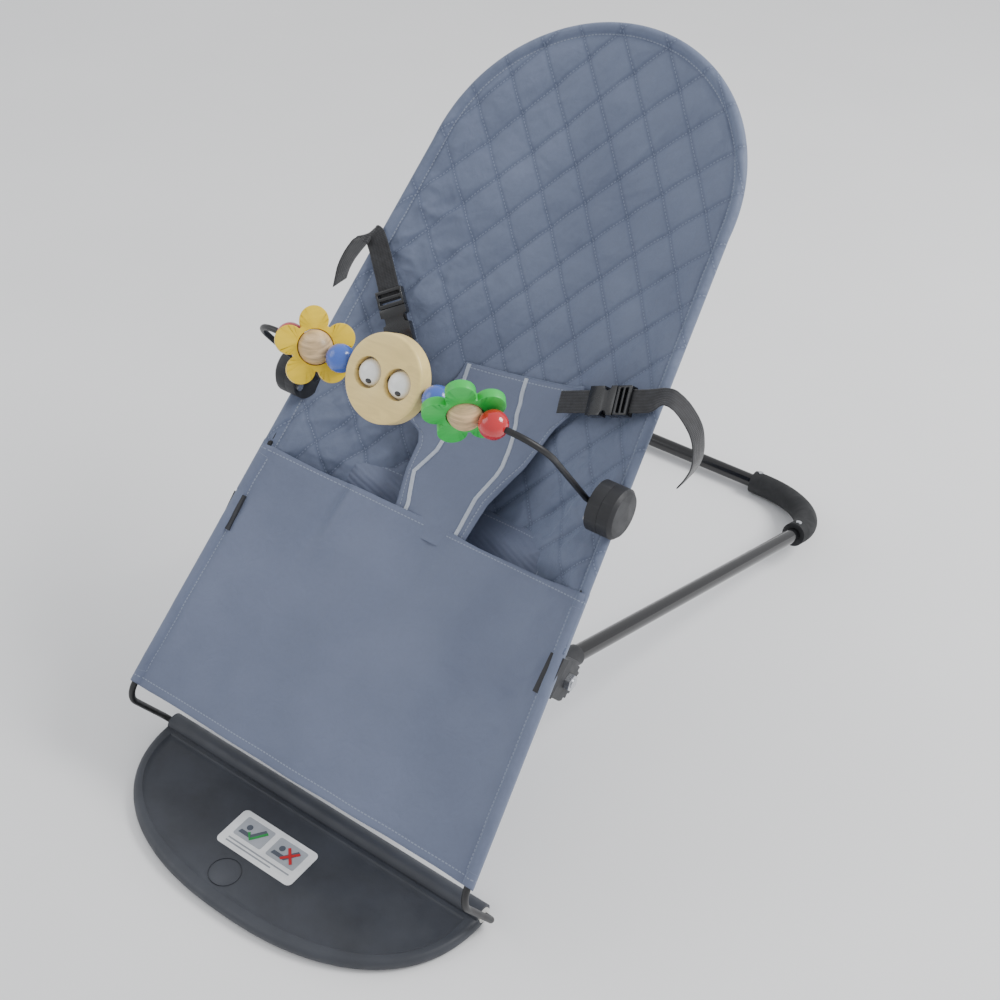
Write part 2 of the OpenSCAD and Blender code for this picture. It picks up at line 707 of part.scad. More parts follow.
module face_disc() {
  color([0.93, 0.82, 0.58]) on_face() difference() {
    union() {
      translate([0, 0, -face_t / 2 + 1.5]) cylinder(d = face_d, h = face_t - 3);
      for (k = [0, 1]) mirror([0, 0, k]) translate([0, 0, face_t / 2 - 1.5])
        cylinder(d1 = face_d, d2 = face_d - 3, h = 1.5);
    }
    for (x = [-eye_x, eye_x]) translate([x, 0, -face_t]) cylinder(d = eye_d + 2.4, h = 2 * face_t);
    across(-face_d, face_d, toy_bore);
  }
}
pupil_dir = [18, 0, 36];
module eye(x) {
  color([0.95, 0.95, 0.95]) on_face() translate([x, 0, 0]) difference() {
    bored_ball(eye_d);
    rotate([pupil_dir.z, 0, 0]) rotate([0, pupil_dir.x, 0]) translate([0, 0, eye_d / 2 - 2])
      cylinder(d = 5, h = 5);
  }
}
module eye_left() eye(-eye_x);
module eye_right() eye(eye_x);
module pupil(x) {
  color(black) on_face() translate([x, 0, 0]) intersection() {
    sphere(d = eye_d);
    rotate([pupil_dir.z, 0, 0]) rotate([0, pupil_dir.x, 0]) translate([0, 0, eye_d / 2 - 1.98])
      cylinder(d = 4.96, h = 5);
  }
}
module pupil_left() pupil(-eye_x);
module pupil_right() pupil(eye_x);

foot_plate();
foot_label();
hinge_bushings();
frame_wire();
rail_bracket_left();
rail_bracket_right();
pivot_pin_left();
pivot_pin_right();
pivot_nut_left();
pivot_nut_right();
leg_hub_left();
leg_hub_right();
leg_tube();
corner_sleeve_left();
corner_sleeve_right();
sleeve_rivets();
sling();
pocket_pad();
leg_cover();
restraint_panel();
panel_piping();
wing_strap_left();
wing_strap_right();
rail_strap_left();
rail_strap_right();
buckle_female_left();
buckle_female_right();
buckle_male_left();
buckle_male_right();
clamp_inner_left();
clamp_inner_right();
clamp_outer_left();
clamp_outer_right();
clamp_screws();
toy_wire();
red_bead_left();
red_bead_right();
blue_bead_left();
blue_bead_right();
yellow_flower();
green_flower();
wood_ball_left();
wood_ball_right();
face_disc();
eye_left();
eye_right();
pupil_left();
pupil_right();
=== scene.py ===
"""Bouncer seat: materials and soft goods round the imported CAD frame. Lengths inside the soft-goods code are in mm."""

import json
import math

import bmesh
import bpy
import numpy as np
from mathutils import Matrix, Vector


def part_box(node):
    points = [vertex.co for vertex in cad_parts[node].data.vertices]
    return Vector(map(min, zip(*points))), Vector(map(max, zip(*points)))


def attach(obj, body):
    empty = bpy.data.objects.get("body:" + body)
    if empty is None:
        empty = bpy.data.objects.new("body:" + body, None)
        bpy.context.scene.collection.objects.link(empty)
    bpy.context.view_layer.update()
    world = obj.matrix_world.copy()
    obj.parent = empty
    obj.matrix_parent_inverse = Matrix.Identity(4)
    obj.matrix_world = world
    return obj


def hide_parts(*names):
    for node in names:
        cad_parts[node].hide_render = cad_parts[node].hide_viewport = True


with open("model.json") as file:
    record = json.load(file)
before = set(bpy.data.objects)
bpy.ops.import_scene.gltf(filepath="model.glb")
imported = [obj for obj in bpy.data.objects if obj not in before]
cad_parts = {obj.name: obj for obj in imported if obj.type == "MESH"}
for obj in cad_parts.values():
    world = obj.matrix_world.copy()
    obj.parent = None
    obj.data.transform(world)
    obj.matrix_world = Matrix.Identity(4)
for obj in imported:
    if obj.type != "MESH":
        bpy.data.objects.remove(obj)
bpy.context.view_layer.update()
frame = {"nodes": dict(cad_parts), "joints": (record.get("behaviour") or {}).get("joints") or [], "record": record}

# ---------------------------------------------------------------- the seat's own frame
ANGLE = math.radians(43.8)
HEM_W, SEAT_LEN, HEAD_R = 186.0, 694.0, 142.0
WIRE_R = 3.0
COVER_LEN = 247.0
ARCH_C = SEAT_LEN - HEAD_R
TAPER = math.acos(HEAD_R / math.hypot(HEM_W, ARCH_C)) - math.atan2(ARCH_C, HEM_W)
joint = {j["name"]: j for j in frame["joints"]}
hinge = joint["foot_fold"]["pos_m"]
HEM = np.array([0.0, hinge[1] * 1000 - 31.0, hinge[2] * 1000 + 76.1])
UP_SEAT = np.array([0.0, math.cos(ANGLE), math.sin(ANGLE)])
OUT_SEAT = np.array([0.0, -math.sin(ANGLE), math.cos(ANGLE)])


def place(x, s, n):
    """Points of the row frame, in metres, from places on the seat in mm."""
    x, s, n = np.broadcast_arrays(x, s, n)
    side = np.stack([x, 0 * x, 0 * x], -1)
    return (HEM + side + s[..., None] * UP_SEAT + n[..., None] * OUT_SEAT) / 1000


def smooth(t):
    t = np.clip(t, 0, 1)
    return t * t * (3 - 2 * t)


def bump(x, s, cx, cs, rx, rs):
    """A soft spot of height 1 at (cx, cs)."""
    return np.exp(-(((x - cx) / rx) ** 2) - ((s - cs) / rs) ** 2)


def rail_x(s):
    return HEM_W - s * math.tan(TAPER)


def sag(s):
    low, deep, head = COVER_LEN * 0.4, COVER_LEN * 0.97, 24.0
    rising = 78 * smooth((s - low) / (deep - low))
    falling = 78 - (78 - head) * smooth((s - deep) / (SEAT_LEN - deep))
    return np.where(s < deep, rising, falling)


def hollow(x, s):
    """Height of the middle of the sling above the plane of its rails, which is negative."""
    across = 1 - np.minimum(1, np.abs(x) / rail_x(s)) ** 2
    round_head = 1 - (x**2 + (s - ARCH_C) ** 2) / HEAD_R**2
    return -sag(s) * np.where(s < ARCH_C, across, np.maximum(0, round_head))


def lattice(x, y, seed):
    """Smooth noise between -1 and 1 with one cell per unit."""
    table = np.random.default_rng(seed).uniform(-1, 1, (97, 97))
    xi, yi = np.floor(x).astype(int), np.floor(y).astype(int)
    fx, fy = smooth(x - xi), smooth(y - yi)
    a, b = table[xi % 97, yi % 97], table[(xi + 1) % 97, yi % 97]
    c, d = table[xi % 97, (yi + 1) % 97], table[(xi + 1) % 97, (yi + 1) % 97]
    return (a * (1 - fx) + b * fx) * (1 - fy) + (c * (1 - fx) + d * fx) * fy


def folds(x, y, seed):
    """Creased noise: soft hills with narrow valleys between them."""
    warp = 0.6 * lattice(x * 0.7, y * 0.7, seed + 1)
    first = 1 - 2 * np.abs(lattice(x + warp, y - warp, seed))
    second = 1 - 2 * np.abs(lattice(2.1 * x, 2.1 * y, seed + 2))
    return 0.7 * first + 0.3 * second


# ---------------------------------------------------------------- materials
def rgb(r, g, b):
    """Linear colour from a colour as it looks, 0 to 255."""
    made = []
    for v in (r, g, b):
        v /= 255
        made.append(v / 12.92 if v <= 0.04045 else ((v + 0.055) / 1.055) ** 2.4)
    return (*made, 1)


class Shader:
    """A material under construction, with short calls for the nodes that are used most."""

    def __init__(self, name, roughness, **fixed):
        self.material = bpy.data.materials.new(name)
        self.material.use_nodes = True
        self.tree = self.material.node_tree
        self.bsdf = self.tree.nodes["Principled BSDF"]
        self.bsdf.inputs["Roughness"].default_value = roughness
        for key, value in fixed.items():
            self.bsdf.inputs[key.replace("_", " ")].default_value = value
        self.where = self.node("ShaderNodeTexCoord").outputs["Object"]
        self.height = None

    def node(self, kind, inputs=None, **settings):
        made = self.tree.nodes.new(kind)
        for key, value in settings.items():
            setattr(made, key, value)
        for key, value in (inputs or {}).items():
            if isinstance(value, bpy.types.NodeSocket):
                self.tree.links.new(value, made.inputs[key])
            else:
                made.inputs[key].default_value = value
        return made

    def math(self, operation, a, b=0.0, c=0.0):
        return self.node("ShaderNodeMath", {0: a, 1: b, 2: c}, operation=operation).outputs[0]

    def noise(self, scale, detail=4.0, distortion=0.0, at=None, rough=0.55):
        values = {
            "Vector": at or self.where,
            "Scale": scale,
            "Detail": detail,
            "Distortion": distortion,
            "Roughness": rough,
        }
        return self.node("ShaderNodeTexNoise", values).outputs["Fac"]

    def wave(self, scale, direction, distortion=0.0, at=None):
        values = {"Vector": at or self.where, "Scale": scale, "Distortion": distortion}
        settings = {"wave_type": "BANDS", "bands_direction": direction}
        return self.node("ShaderNodeTexWave", values, **settings).outputs["Fac"]

    def stretched(self, scale, turn=(0, 0, 0)):
        values = {"Vector": self.where, "Scale": scale, "Rotation": turn}
        return self.node("ShaderNodeMapping", values).outputs[0]

    def ramp(self, value, *stops):
        made = self.node("ShaderNodeValToRGB", {"Fac": value})
        while len(made.color_ramp.elements) < len(stops):
            made.color_ramp.elements.new(0.5)
        for element, (position, colour) in zip(made.color_ramp.elements, stops):
            element.position, element.color = position, colour
        return made.outputs[0]

    def span(self, value, low, high, to_low, to_high):
        order = {"Value": value, 1: low, 2: high, 3: to_low, 4: to_high}
        return self.node("ShaderNodeMapRange", order).outputs[0]

    def blend(self, share, a, b, kind="MIX"):
        made = self.node("ShaderNodeMix", data_type="RGBA", blend_type=kind)
        for index, value in ((0, share), (6, a), (7, b)):
            if isinstance(value, bpy.types.NodeSocket):
                self.tree.links.new(value, made.inputs[index])
            else:
                made.inputs[index].default_value = value
        return made.outputs[2]

    def attribute(self, name):
        return self.node("ShaderNodeAttribute", attribute_name=name).outputs["Fac"]

    def edges(self):
        """0 on flat ground and 1 on worn outer edges."""
        point = self.node("ShaderNodeNewGeometry").outputs["Pointiness"]
        return self.span(point, 0.5, 0.58, 0.0, 1.0)

    def colour(self, value):
        self.set("Base Color", value)

    def set(self, name, value):
        self.tree.links.new(value, self.bsdf.inputs[name])

    def relief(self, height, strength, distance):
        values = {"Height": height, "Strength": strength, "Distance": distance}
        if self.height is not None:
            values["Normal"] = self.height
        self.height = self.node("ShaderNodeBump", values).outputs[0]
        self.set("Normal", self.height)


def fabric(name, light, dark, weave=1500.0, crease=0.35, quilted=False, seams=True):
    m = Shader(name, 0.6, Sheen_Weight=0.35, Sheen_Roughness=0.45, Specular_IOR_Level=0.35)
    m.bsdf.inputs["Sheen Tint"].default_value = rgb(200, 214, 236)
    large = m.noise(9, 3)
    fine = m.noise(240, 3, 0.4)
    warp = m.wave(weave, "X", 0.3)
    weft = m.wave(weave, "Z", 0.3)
    thread = m.math("MAXIMUM", warp, weft)
    tone = m.math("ADD", m.math("MULTIPLY", large, 0.75), m.math("MULTIPLY", fine, 0.25))
    base = m.ramp(tone, (0.3, dark), (0.7, light))
    base = m.blend(m.span(thread, 0.2, 1.0, 0.10, 0.0), base, (0.05, 0.06, 0.09, 1))
    if seams:
        # Stitches along the seams: "edge" is the distance in mm from the seam, "along" the length.
        near = m.math("LESS_THAN", m.math("ABSOLUTE", m.attribute("seam")), 0.45)
        dash = m.math("LESS_THAN", m.math("FRACT", m.math("DIVIDE", m.attribute("along"), 3.4)), 0.64)
        stitch = m.math("MULTIPLY", near, dash)
        base = m.blend(m.math("MULTIPLY", stitch, 0.5), base, rgb(160, 168, 184))
        m.relief(stitch, 0.35, 0.0006)
    if quilted:
        first, second = m.attribute("quilt_a"), m.attribute("quilt_b")
        for one, other, wide, step in ((first, second, 33.0, 34.0), (second, first, 34.8, 33.0)):
            off = m.math("MULTIPLY", m.math("PINGPONG", one, 0.5), wide)
            near = m.math("LESS_THAN", off, 0.42)
            dash = m.math("LESS_THAN", m.math("FRACT", m.math("MULTIPLY", other, step / 3.0)), 0.6)
            stitch = m.math("MULTIPLY", near, dash)
            # Painted shade: within 3 mm of each quilting line the colour darkens towards rgb(52, 62, 88), the shade of
            # the grooves painted into the cloth.
            groove_shade = m.span(off, 0.0, 3.0, 0.4, 0.0)
            base = m.blend(groove_shade, base, rgb(52, 62, 88))
            base = m.blend(m.math("MULTIPLY", stitch, 0.35), base, rgb(150, 160, 180))
    m.colour(base)
    m.set("Roughness", m.span(fine, 0.3, 0.7, 0.5, 0.68))
    m.relief(thread, 0.12, 0.0003)
    m.relief(m.noise(95, 5, 0.9), crease, 0.0016)
    m.relief(m.noise(34, 3, 1.4), crease * 0.8, 0.004)
    return m.material


def moulded(name, tone, roughness, grain=1400.0, depth=0.12, wear=0.25, coat=0.0):
    m = Shader(name, roughness, Coat_Weight=coat, Coat_Roughness=0.12)
    mottle = m.noise(26, 5)
    darker, lighter = [v * 0.8 for v in tone[:3]] + [1], [v * 1.18 for v in tone[:3]] + [1]
    base = m.ramp(mottle, (0.32, darker), (0.68, lighter))
    worn = [min(1, v * 1.6 + 0.02) for v in tone[:3]] + [1]
    m.colour(m.blend(m.math("MULTIPLY", m.edges(), wear), base, worn))
    smear = m.noise(60, 4, 0.8)
    m.set("Roughness", m.span(smear, 0.3, 0.7, roughness * 0.85, min(1, roughness * 1.18)))
    m.relief(m.noise(grain, 2), depth, 0.0004)
    return m.material


def painted_wood(name, tone, roughness, show, coat):
    """Wood with a paint that lets a share of its grain show."""
    m = Shader(name, roughness, Coat_Weight=coat, Coat_Roughness=0.15)
    long = m.stretched((22, 22, 130), (0.3, 0.5, 0.2))
    rings = m.noise(1.6, 6, 1.2, at=long)
    fibre = m.noise(6, 4, 0.3, at=m.stretched((60, 60, 700), (0.3, 0.5, 0.2)))
    dark = [v * (1 - 0.42 * show) for v in tone[:3]] + [1]
    light = [min(1, v * (1 + 0.12 * show)) for v in tone[:3]] + [1]
    base = m.ramp(rings, (0.35, dark), (0.62, light))
    base = m.blend(m.span(fibre, 0.45, 0.75, 0.0, 0.25 * show + 0.05), base, dark)
    worn = [min(1, v * 1.15 + 0.05) for v in tone[:3]] + [1]
    m.colour(m.blend(m.math("MULTIPLY", m.edges(), 0.3), base, worn))
    m.set("Roughness", m.span(fibre, 0.3, 0.7, roughness * 0.8, roughness * 1.2))
    m.relief(fibre, 0.10 + 0.15 * show, 0.0003)
    m.relief(m.noise(70, 3), 0.12, 0.0006)
    return m.material


def metal(name, tone, roughness):
    m = Shader(name, roughness, Metallic=1.0)
    streak = m.noise(8, 4, at=m.stretched((40, 900, 900)))
    darker = [v * 0.82 for v in tone[:3]] + [1]
    m.colour(m.ramp(streak, (0.3, darker), (0.7, tone)))
    m.set("Roughness", m.span(streak, 0.3, 0.7, roughness * 0.7, roughness * 1.3))
    m.relief(streak, 0.08, 0.0002)
    return m.material


def webbing(name):
    """Black webbing: "across" runs over its width and "along" down its length, in mm."""
    m = Shader(name, 0.55, Sheen_Weight=0.25, Sheen_Roughness=0.4, Specular_IOR_Level=0.5)
    along, across = m.attribute("along"), m.attribute("across")
    rib = m.math("PINGPONG", m.math("DIVIDE", along, 1.3), 0.5)
    column = m.math("PINGPONG", m.math("DIVIDE", across, 2.6), 0.5)
    weave = m.math("ADD", rib, m.math("MULTIPLY", column, 0.8))
    dust = m.noise(180, 4)
    base = m.ramp(dust, (0.3, (0.008, 0.008, 0.010, 1)), (0.75, (0.032, 0.033, 0.038, 1)))
    m.colour(m.blend(m.span(weave, 0.1, 0.8, 0.45, 0.0), base, (0.003, 0.003, 0.004, 1)))
    m.set("Roughness", m.span(weave, 0.0, 0.9, 0.75, 0.45))
    m.relief(weave, 0.55, 0.0006)
    return m.material


CLOTH_LIGHT, CLOTH_DARK = rgb(112, 122, 145), rgb(92, 101, 123)
looks = {
    "plate": moulded("plate_plastic", rgb(52, 55, 62), 0.5, 900, 0.18, 0.35),
    "label": moulded("label_film", rgb(236, 237, 238), 0.3, 400, 0.03, 0.1, 0.3),
    "nylon": moulded("white_nylon", rgb(214, 213, 205), 0.5),
    "frame": moulded("powder_coat", rgb(26, 26, 28), 0.4, 2200, 0.2, 0.3),
    "moulding": moulded("black_moulding", rgb(30, 31, 35), 0.55, 1100, 0.25, 0.4),
    "leg": moulded("gloss_black_tube", rgb(13, 13, 16), 0.16, 300, 0.03, 0.12, 0.25),
    "rubber": moulded("matt_rubber", rgb(30, 31, 33), 0.75, 700, 0.25, 0.3),
    "steel": metal("plated_steel", (0.62, 0.63, 0.66, 1), 0.3),
    "quilt": fabric("quilted_polyester", CLOTH_LIGHT, CLOTH_DARK, quilted=True),
    "cloth": fabric("plain_polyester", rgb(110, 119, 142), rgb(96, 104, 126), crease=0.26),
    "piping": fabric("reflective_piping", rgb(196, 202, 212), rgb(160, 168, 182), crease=0.1, seams=False),
    "webbing": webbing("black_webbing"),
    "buckle": moulded("buckle_acetal", rgb(20, 21, 24), 0.26, 500, 0.06, 0.35, 0.25),
    "red": painted_wood("red_paint", rgb(196, 24, 32), 0.16, 0.12, 0.8),
    "blue": painted_wood("blue_paint", rgb(62, 98, 190), 0.2, 0.15, 0.6),
    "yellow": painted_wood("yellow_paint", rgb(232, 196, 14), 0.4, 0.2, 0.15),
    "green": painted_wood("green_paint", rgb(30, 190, 72), 0.38, 0.2, 0.15),
    "wood": painted_wood("clear_wood", rgb(222, 190, 144), 0.42, 1.0, 0.1),
    "face": painted_wood("pale_yellow_paint", rgb(240, 212, 140), 0.38, 0.25, 0.15),
    "white": moulded("white_gloss", rgb(238, 238, 236), 0.16, 200, 0.02, 0.1, 0.5),
    "pupil": moulded("black_gloss", rgb(12, 12, 14), 0.14, 200, 0.02, 0.1, 0.5),
}

# ---------------------------------------------------------------- the CAD nodes' finish
ROUNDED = {
    "yellow_flower": 0.0022,
    "green_flower": 0.0022,
    "face_disc": 0.0012,
    "clamp_outer_left": 0.0018,
    "clamp_outer_right": 0.0018,
    "clamp_inner_left": 0.0012,
    "clamp_inner_right": 0.0012,
    "buckle_female_left": 0.0009,
    "buckle_female_right": 0.0009,
    "buckle_male_left": 0.0008,
    "buckle_male_right": 0.0008,
    "rail_bracket_left": 0.0008,
    "rail_bracket_right": 0.0008,
    "leg_hub_left": 0.0009,
    "leg_hub_right": 0.0009,
    "corner_sleeve_left": 0.0012,
    "corner_sleeve_right": 0.0012,
}
slot_of = {p["node"]: p["material_slot"] for p in frame["record"]["subparts"]}
for node, part in frame["nodes"].items():
    part.data.materials.clear()
    part.data.materials.append(looks[slot_of[node]])
    if "custom_normal" in part.data.attributes:
        part.data.attributes.remove(part.data.attributes["custom_normal"])
    part.data.polygons.foreach_set("use_smooth", [True] * len(part.data.polygons))
    weld = part.modifiers.new("weld", "WELD")
    weld.merge_threshold = 0.00002
    if node in ROUNDED:
        bevel = part.modifiers.new("bevel", "BEVEL")
        bevel.width, bevel.segments, bevel.limit_method = ROUNDED[node], 3, "ANGLE"
        bevel.angle_limit = math.radians(38)
        bevel.use_clamp_overlap = True
    split = part.modifiers.new("split", "EDGE_SPLIT")
    split.split_angle = math.radians(34)


# ---------------------------------------------------------------- mesh helpers
def grid(name, points, look, fields=None, ring=False):
    """A mesh over a grid of points in metres; ring closes each row, and fields are kept as attributes."""
    rows, columns = points.shape[:2]
    index = np.arange(rows * columns).reshape(rows, columns)
    right = np.roll(index, -1, 1) if ring else index[:, 1:]
    left = index if ring else index[:, :-1]
    quads = np.stack([left[:-1], right[:-1], right[1:], left[1:]], -1).reshape(-1, 4)
    mesh = bpy.data.meshes.new(name)
    mesh.from_pydata(points.reshape(-1, 3).tolist(), [], quads.tolist())
    for key, values in (fields or {}).items():
        layer = mesh.attributes.new(key, "FLOAT", "POINT")
        layer.data.foreach_set("value", np.broadcast_to(values, (rows, columns)).astype(np.float32).ravel())
    work = bmesh.new()
    work.from_mesh(mesh)
    bmesh.ops.remove_doubles(work, verts=work.verts, dist=1e-6)
    bmesh.ops.recalc_face_normals(work, faces=work.faces)
    for face in work.faces:
        face.smooth = True
    work.to_mesh(mesh)
    work.free()
    mesh.materials.append(look)
    made = bpy.data.objects.new(name, mesh)
    bpy.context.scene.collection.objects.link(made)
    return made


def two_layers(front, back):
    """Rows that go over the front and come back behind it, for a closed soft piece."""
    return np.concatenate([front, back[:, ::-1][:, 1:-1]], 1)


RIM_STEPS = np.array([0, 0.3, 0.8, 1.5, 2.4, 3.4, 4.5, 5.6, 6.7, 7.7, 8.6, 9.3, 10.0, 10.7, 11.5, 12.6, 14.0])


def across_steps(half, step):
    """Shares from -1 to 1 that crowd together near both edges."""
    inner = np.linspace(14.0, half, int((half - 14) / step) + 1)[1:]
    edge = 1 - np.concatenate([RIM_STEPS, inner]) / half
    return np.concatenate([-edge[:-1], [0.0], edge[:-1][::-1]])


def sleeve_profile(d, tube, body):
    """Half thickness at d mm from the rim: a sleeve of radius tube round the wire, then the flat body."""
    round_part = np.sqrt(np.maximum(0, tube**2 - (d - tube) ** 2)) * (d < 2 * tube)
    flat_part = body * smooth((d - tube) / tube)
    return (round_part**3 + flat_part**3) ** (1 / 3)


# ---------------------------------------------------------------- the quilted sling
SLEEVE = 5.0
rim = rail_x(ARCH_C) + SLEEVE
u = across_steps(rim, 1.8)
low_rows = np.arange(196.0, ARCH_C - 0.5, 1.8)
head_v = np.concatenate([np.linspace(0, 1 - 14 / rim, 78), (1 - RIM_STEPS / rim)[::-1][1:]])
lower_s = np.repeat(low_rows[:, None], len(u), 1)
lower_x = u[None] * (rail_x(low_rows)[:, None] + SLEEVE)
head_x = rim * u[None] * np.sqrt(1 - head_v[:, None] ** 2 / 2)
head_s = ARCH_C + rim * head_v[:, None] * np.sqrt(1 - u[None] ** 2 / 2)
X, S = np.concatenate([lower_x, head_x]), np.concatenate([lower_s, head_s])
from_rim = np.where(S < ARCH_C, rail_x(S) + SLEEVE - np.abs(X), rim - np.hypot(X, S - ARCH_C))
from_rim = np.maximum(0, from_rim)
around = np.where(S < ARCH_C, S, ARCH_C + rim * np.arctan2(S - ARCH_C, np.abs(X)))

quilt_a = (S - 1.25 * X + 0.0015 * X**2 + 0.001 * X * (S - 550) - 19.2) / 53.5
quilt_b = (S + 1.32 * X - 491.0) / 57.5
puff = 3.8 * np.abs(np.sin(np.pi * quilt_a)) ** 0.55 + 2.0 * np.abs(np.sin(np.pi * quilt_b)) ** 0.55 - 2.9
rise, fall = (S - 1.2 * X) / 26, (S + 1.2 * X) / 60
rough = 0.8
rough = rough + 2.4 * bump(X, S, -122, 480, 34, 90)
rough = rough + 3.4 * bump(X, S, 112, 300, 44, 46)
rough = rough + 2.6 * bump(X, S, -108, 296, 50, 50)
crumple = rough * folds(rise, fall, 11) + 0.5 * rough * folds(X / 15, S / 19, 23)
swell = 9 * bump(X, S, 118, 268, 42, 20) - 7 * bump(X, S, 84, 302, 16, 26)
swell = swell + 6 * bump(X, S, -112, 262, 46, 22)
inside = smooth((from_rim - 8) / 13)
middle = hollow(X, S)
ripple = 0.45 * lattice(around / 11, np.sign(X) + 3, 5) * smooth(from_rim / 3)
tube = np.where(S < COVER_LEN + 2, 4.0, SLEEVE)
thick = sleeve_profile(from_rim + SLEEVE - tube, tube, 1.7) * smooth(from_rim / 0.3 + 0.001)
seam_dip = 1.1 * np.exp(-(((from_rim - 10.4) / 1.0) ** 2))
front_n = middle + thick + (puff + crumple + swell) * inside - seam_dip + ripple
back_n = middle - thick - (0.6 * puff + 0.4 * crumple) * inside + 0.5 * seam_dip
back_n = np.minimum(back_n, front_n - 1.4 * inside)
edge_fields = {"seam": from_rim - 10.4, "along": around, "quilt_a": quilt_a, "quilt_b": quilt_b}
both = {k: two_layers(v, v) for k, v in edge_fields.items()}
front_n[0], back_n[0] = middle[0], middle[0]
sling = grid(
    "sling_cover", two_layers(place(X, S, front_n), place(X, S, back_n)), looks["quilt"], both, ring=True
)
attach(sling, "seat")
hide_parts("sling")

# ---------------------------------------------------------------- the leg cover
WRAP = 5.2
u = across_steps(HEM_W - 10 + WRAP, 2.4)
rows = np.concatenate([[0, 0.4, 1.2], np.arange(2.5, COVER_LEN - 3, 2.4), [246.0, 246.8, 247.2]])
X = u[None] * (rail_x(rows)[:, None] + WRAP)
T = rows[:, None] / COVER_LEN
top_edge = 2.5 * lattice(X / 60, 0 * X + 4, 31) - 1.5 * (1 - u[None] ** 2)
S = rows[:, None] + top_edge * T**6 + 0.8 * lattice(X / 70, 0 * X + 9, 37) * (1 - T) ** 8
from_rim = np.maximum(0, (1 - np.abs(u[None])) * (rail_x(rows)[:, None] + WRAP)) + 0 * S
dip = -26.5 * np.clip(T, 0, 1) ** 1.6 * (1 - (np.abs(X) / rail_x(rows)[:, None]).clip(0, 1) ** 2)
drape = 2.2 * lattice(X / 75, S / 120, 41) + 1.6 * lattice(X / 34, S / 150, 43)
drape = drape - 5.5 * np.exp(-(((X + 92 - 0.06 * (S - 200)) / 7) ** 2)) * smooth((S - 150) / 80)
drape = drape + 2.6 * np.exp(-(((X + 78) / 9) ** 2)) * smooth((S - 165) / 70)
drape = drape - 3.0 * np.exp(-(((X - 12) / 12) ** 2)) * smooth((S - 175) / 60)
drape = drape + 2.0 * folds((X - 150) / 26, S / 34, 47) * smooth((X - 96) / 50) * smooth((S - 60) / 90)
drape = drape + 0.8 * folds((X + 160) / 30, S / 60, 53) * smooth((-X - 120) / 40)
drape = drape - 0.5 * np.exp(-(((S - 8) / 1.4) ** 2)) - 0.5 * np.exp(-(((S - 240) / 1.4) ** 2))
inside = smooth((from_rim - 7) / 14)
thick = sleeve_profile(from_rim, WRAP, 0.9) * smooth(from_rim / 0.3 + 0.001)
loose = 0.8 * lattice(S / 14, np.sign(X) + 5, 59) * smooth(from_rim / 3) * (1 - inside)
seam = np.where(S < 12, S - 7.5, np.where(S > 236, 241.0 - S, from_rim - 11.0))
along = np.where((S < 12) | (S > 236), X, S)
front_n = dip + thick + drape * inside + loose
back_n = dip - thick + drape * inside * 0.9
close = np.minimum(smooth(rows / 1.2), smooth((247.2 - rows) / 1.2))[:, None]
middle = (front_n + back_n) / 2
front_n, back_n = middle + (front_n - middle) * close, middle + (back_n - middle) * close
fields = {"seam": two_layers(seam, seam), "along": two_layers(along, along)}
cover = grid(
    "leg_cover_cloth", two_layers(place(X, S, front_n), place(X, S, back_n)), looks["cloth"], fields, ring=True
)
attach(cover, "seat")
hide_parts("leg_cover")

# ---------------------------------------------------------------- the restraint panel
PANEL_S = (COVER_LEN * 0.93, 392.0)


def panel_height(x, s):
    t = (s - PANEL_S[0]) / (PANEL_S[1] - PANEL_S[0])
    mid = -2 - sag(s)
    return mid + 50 - 40 * smooth(t) + 0.002 * x * x + 7 * smooth((np.abs(x) - 56) / 16)


stations = [229, 252, 280, 305, 314, 320, 327, 340, 352, 358, 363, 369, 376, 392]
right_half = [37, 38, 39, 46, 49, 51, 52, 54, 56, 58, 62, 69, 74, 73]
left_half = [37, 40, 48, 52, 57, 67, 73, 74, 73, 67, 58, 54, 52, 50]
centre_line = [0, 0, -6, 0, 0, -1, -2, -5, -9, -12, -13, -14, -16, -18]
piping_half = [27, 28, 33, 32, 32, 31.5, 31, 30.5, 30, 30, 29.8, 29.5, 29, 28]
v = np.linspace(0, 1, 92)[:, None]
u = across_steps(60.0, 1.6)[None]
base_s = PANEL_S[0] + (PANEL_S[1] - PANEL_S[0]) * v
half = np.where(u > 0, np.interp(base_s, stations, right_half), np.interp(base_s, stations, left_half))
X = u * half
S = base_s + (0.14 * X + 3) * v**3
from_rim = np.minimum((1 - np.abs(u)) * half, (1 - v) * 160 + 0 * u)
puffed = 1.5 * (1 - np.exp(-from_rim / 1.6)) + 0.9 * smooth(from_rim / 14)
wavy = 1.5 * lattice(X / 30, S / 42, 61) + 0.7 * folds(X / 26, S / 30, 67)
lift = 1.5 * np.sin((S - 250) / 21) * np.exp(-(((np.abs(X) - 44) / 14) ** 2))
mid = panel_height(X, S) - 1.4 + (wavy + lift) * smooth(from_rim / 6)
dent = 0.7 * np.exp(-(((from_rim - 4.5) / 0.8) ** 2))
front_n, back_n = mid + puffed - dent, mid - puffed * 0.8
fields = {"seam": two_layers(from_rim - 4.5, from_rim - 4.5)}
edge_along = np.where((1 - v) * 160 + 0 * u < (1 - np.abs(u)) * half, X, S)
fields["along"] = two_layers(edge_along, edge_along)
panel = grid(
    "restraint_panel_cloth", two_layers(place(X, S, front_n), place(X, S, back_n)), looks["cloth"], fields, ring=True
)
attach(panel, "seat")
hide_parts("restraint_panel")


def panel_top(x, s):
    """Height of the panel's finished front at a place on the seat."""
    best = np.argmin((X - x) ** 2 + (S - s) ** 2)
    return float(front_n.flat[best])


